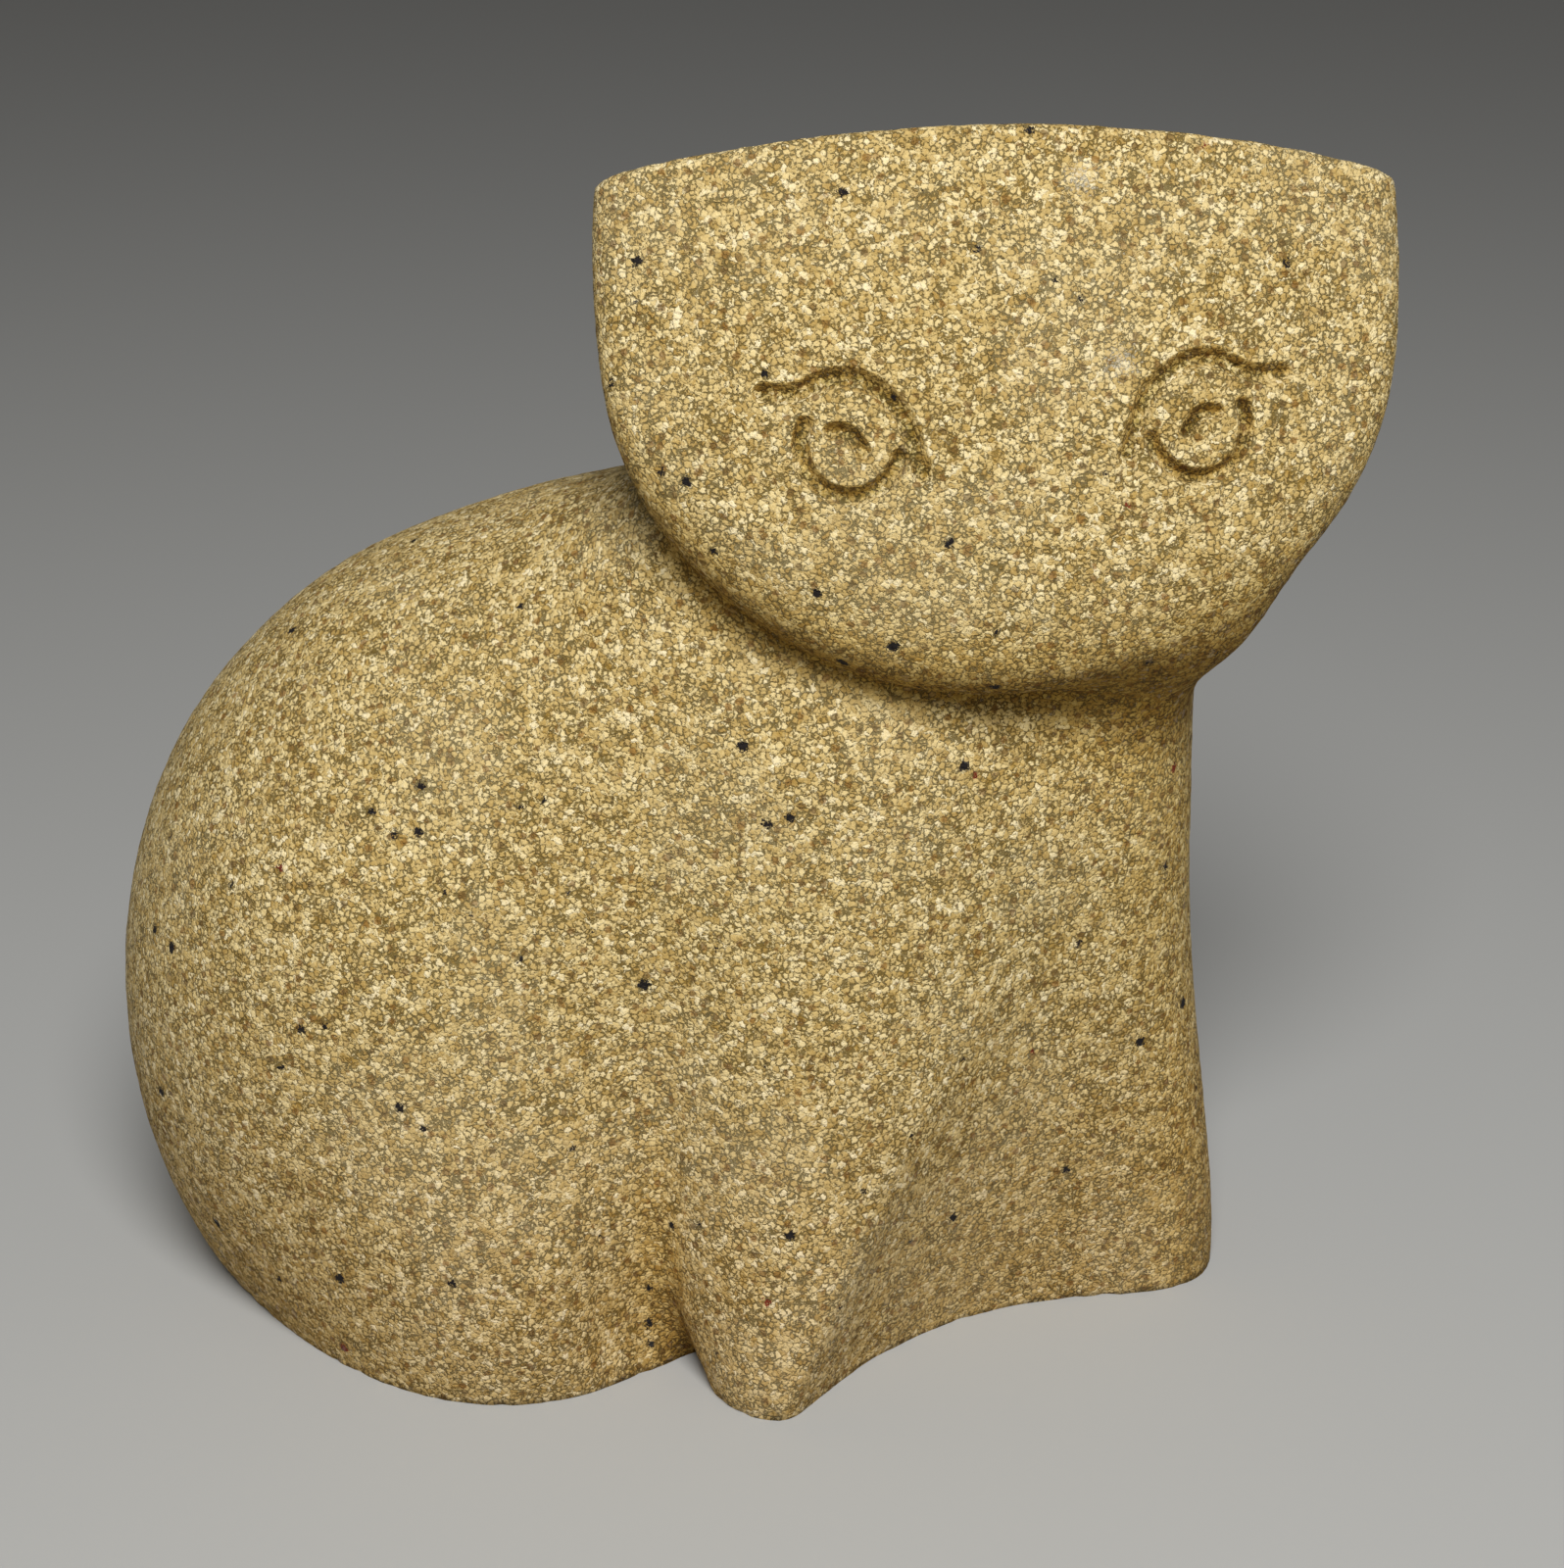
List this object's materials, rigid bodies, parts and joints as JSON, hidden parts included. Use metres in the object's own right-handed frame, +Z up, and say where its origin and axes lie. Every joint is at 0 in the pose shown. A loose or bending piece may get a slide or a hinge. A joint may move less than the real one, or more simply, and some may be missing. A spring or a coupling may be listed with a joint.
{
  "type": "cat figurine",
  "caption": "Stylised seated cat cast in one piece of grainy sandstone, with a broad flat-crowned head, engraved round eyes, a round haunch and short front legs.",
  "frame": {"origin": "middle of the bounding box, on the surface that the underside rests on", "axes": "+Z up, the face looks towards -Y, +X to the right in the picture, where the head is; the haunch is on the -X side"},
  "size_m": [0.149, 0.0834, 0.1454],
  "materials": {
    "sandstone": "Matt cast sandstone: fine cream, straw and ochre grains with open pores and scattered black and rust specks, no coating"
  },
  "bodies": {
    "root": {"cat_figurine": "sandstone"}
  },
  "joints": []
}
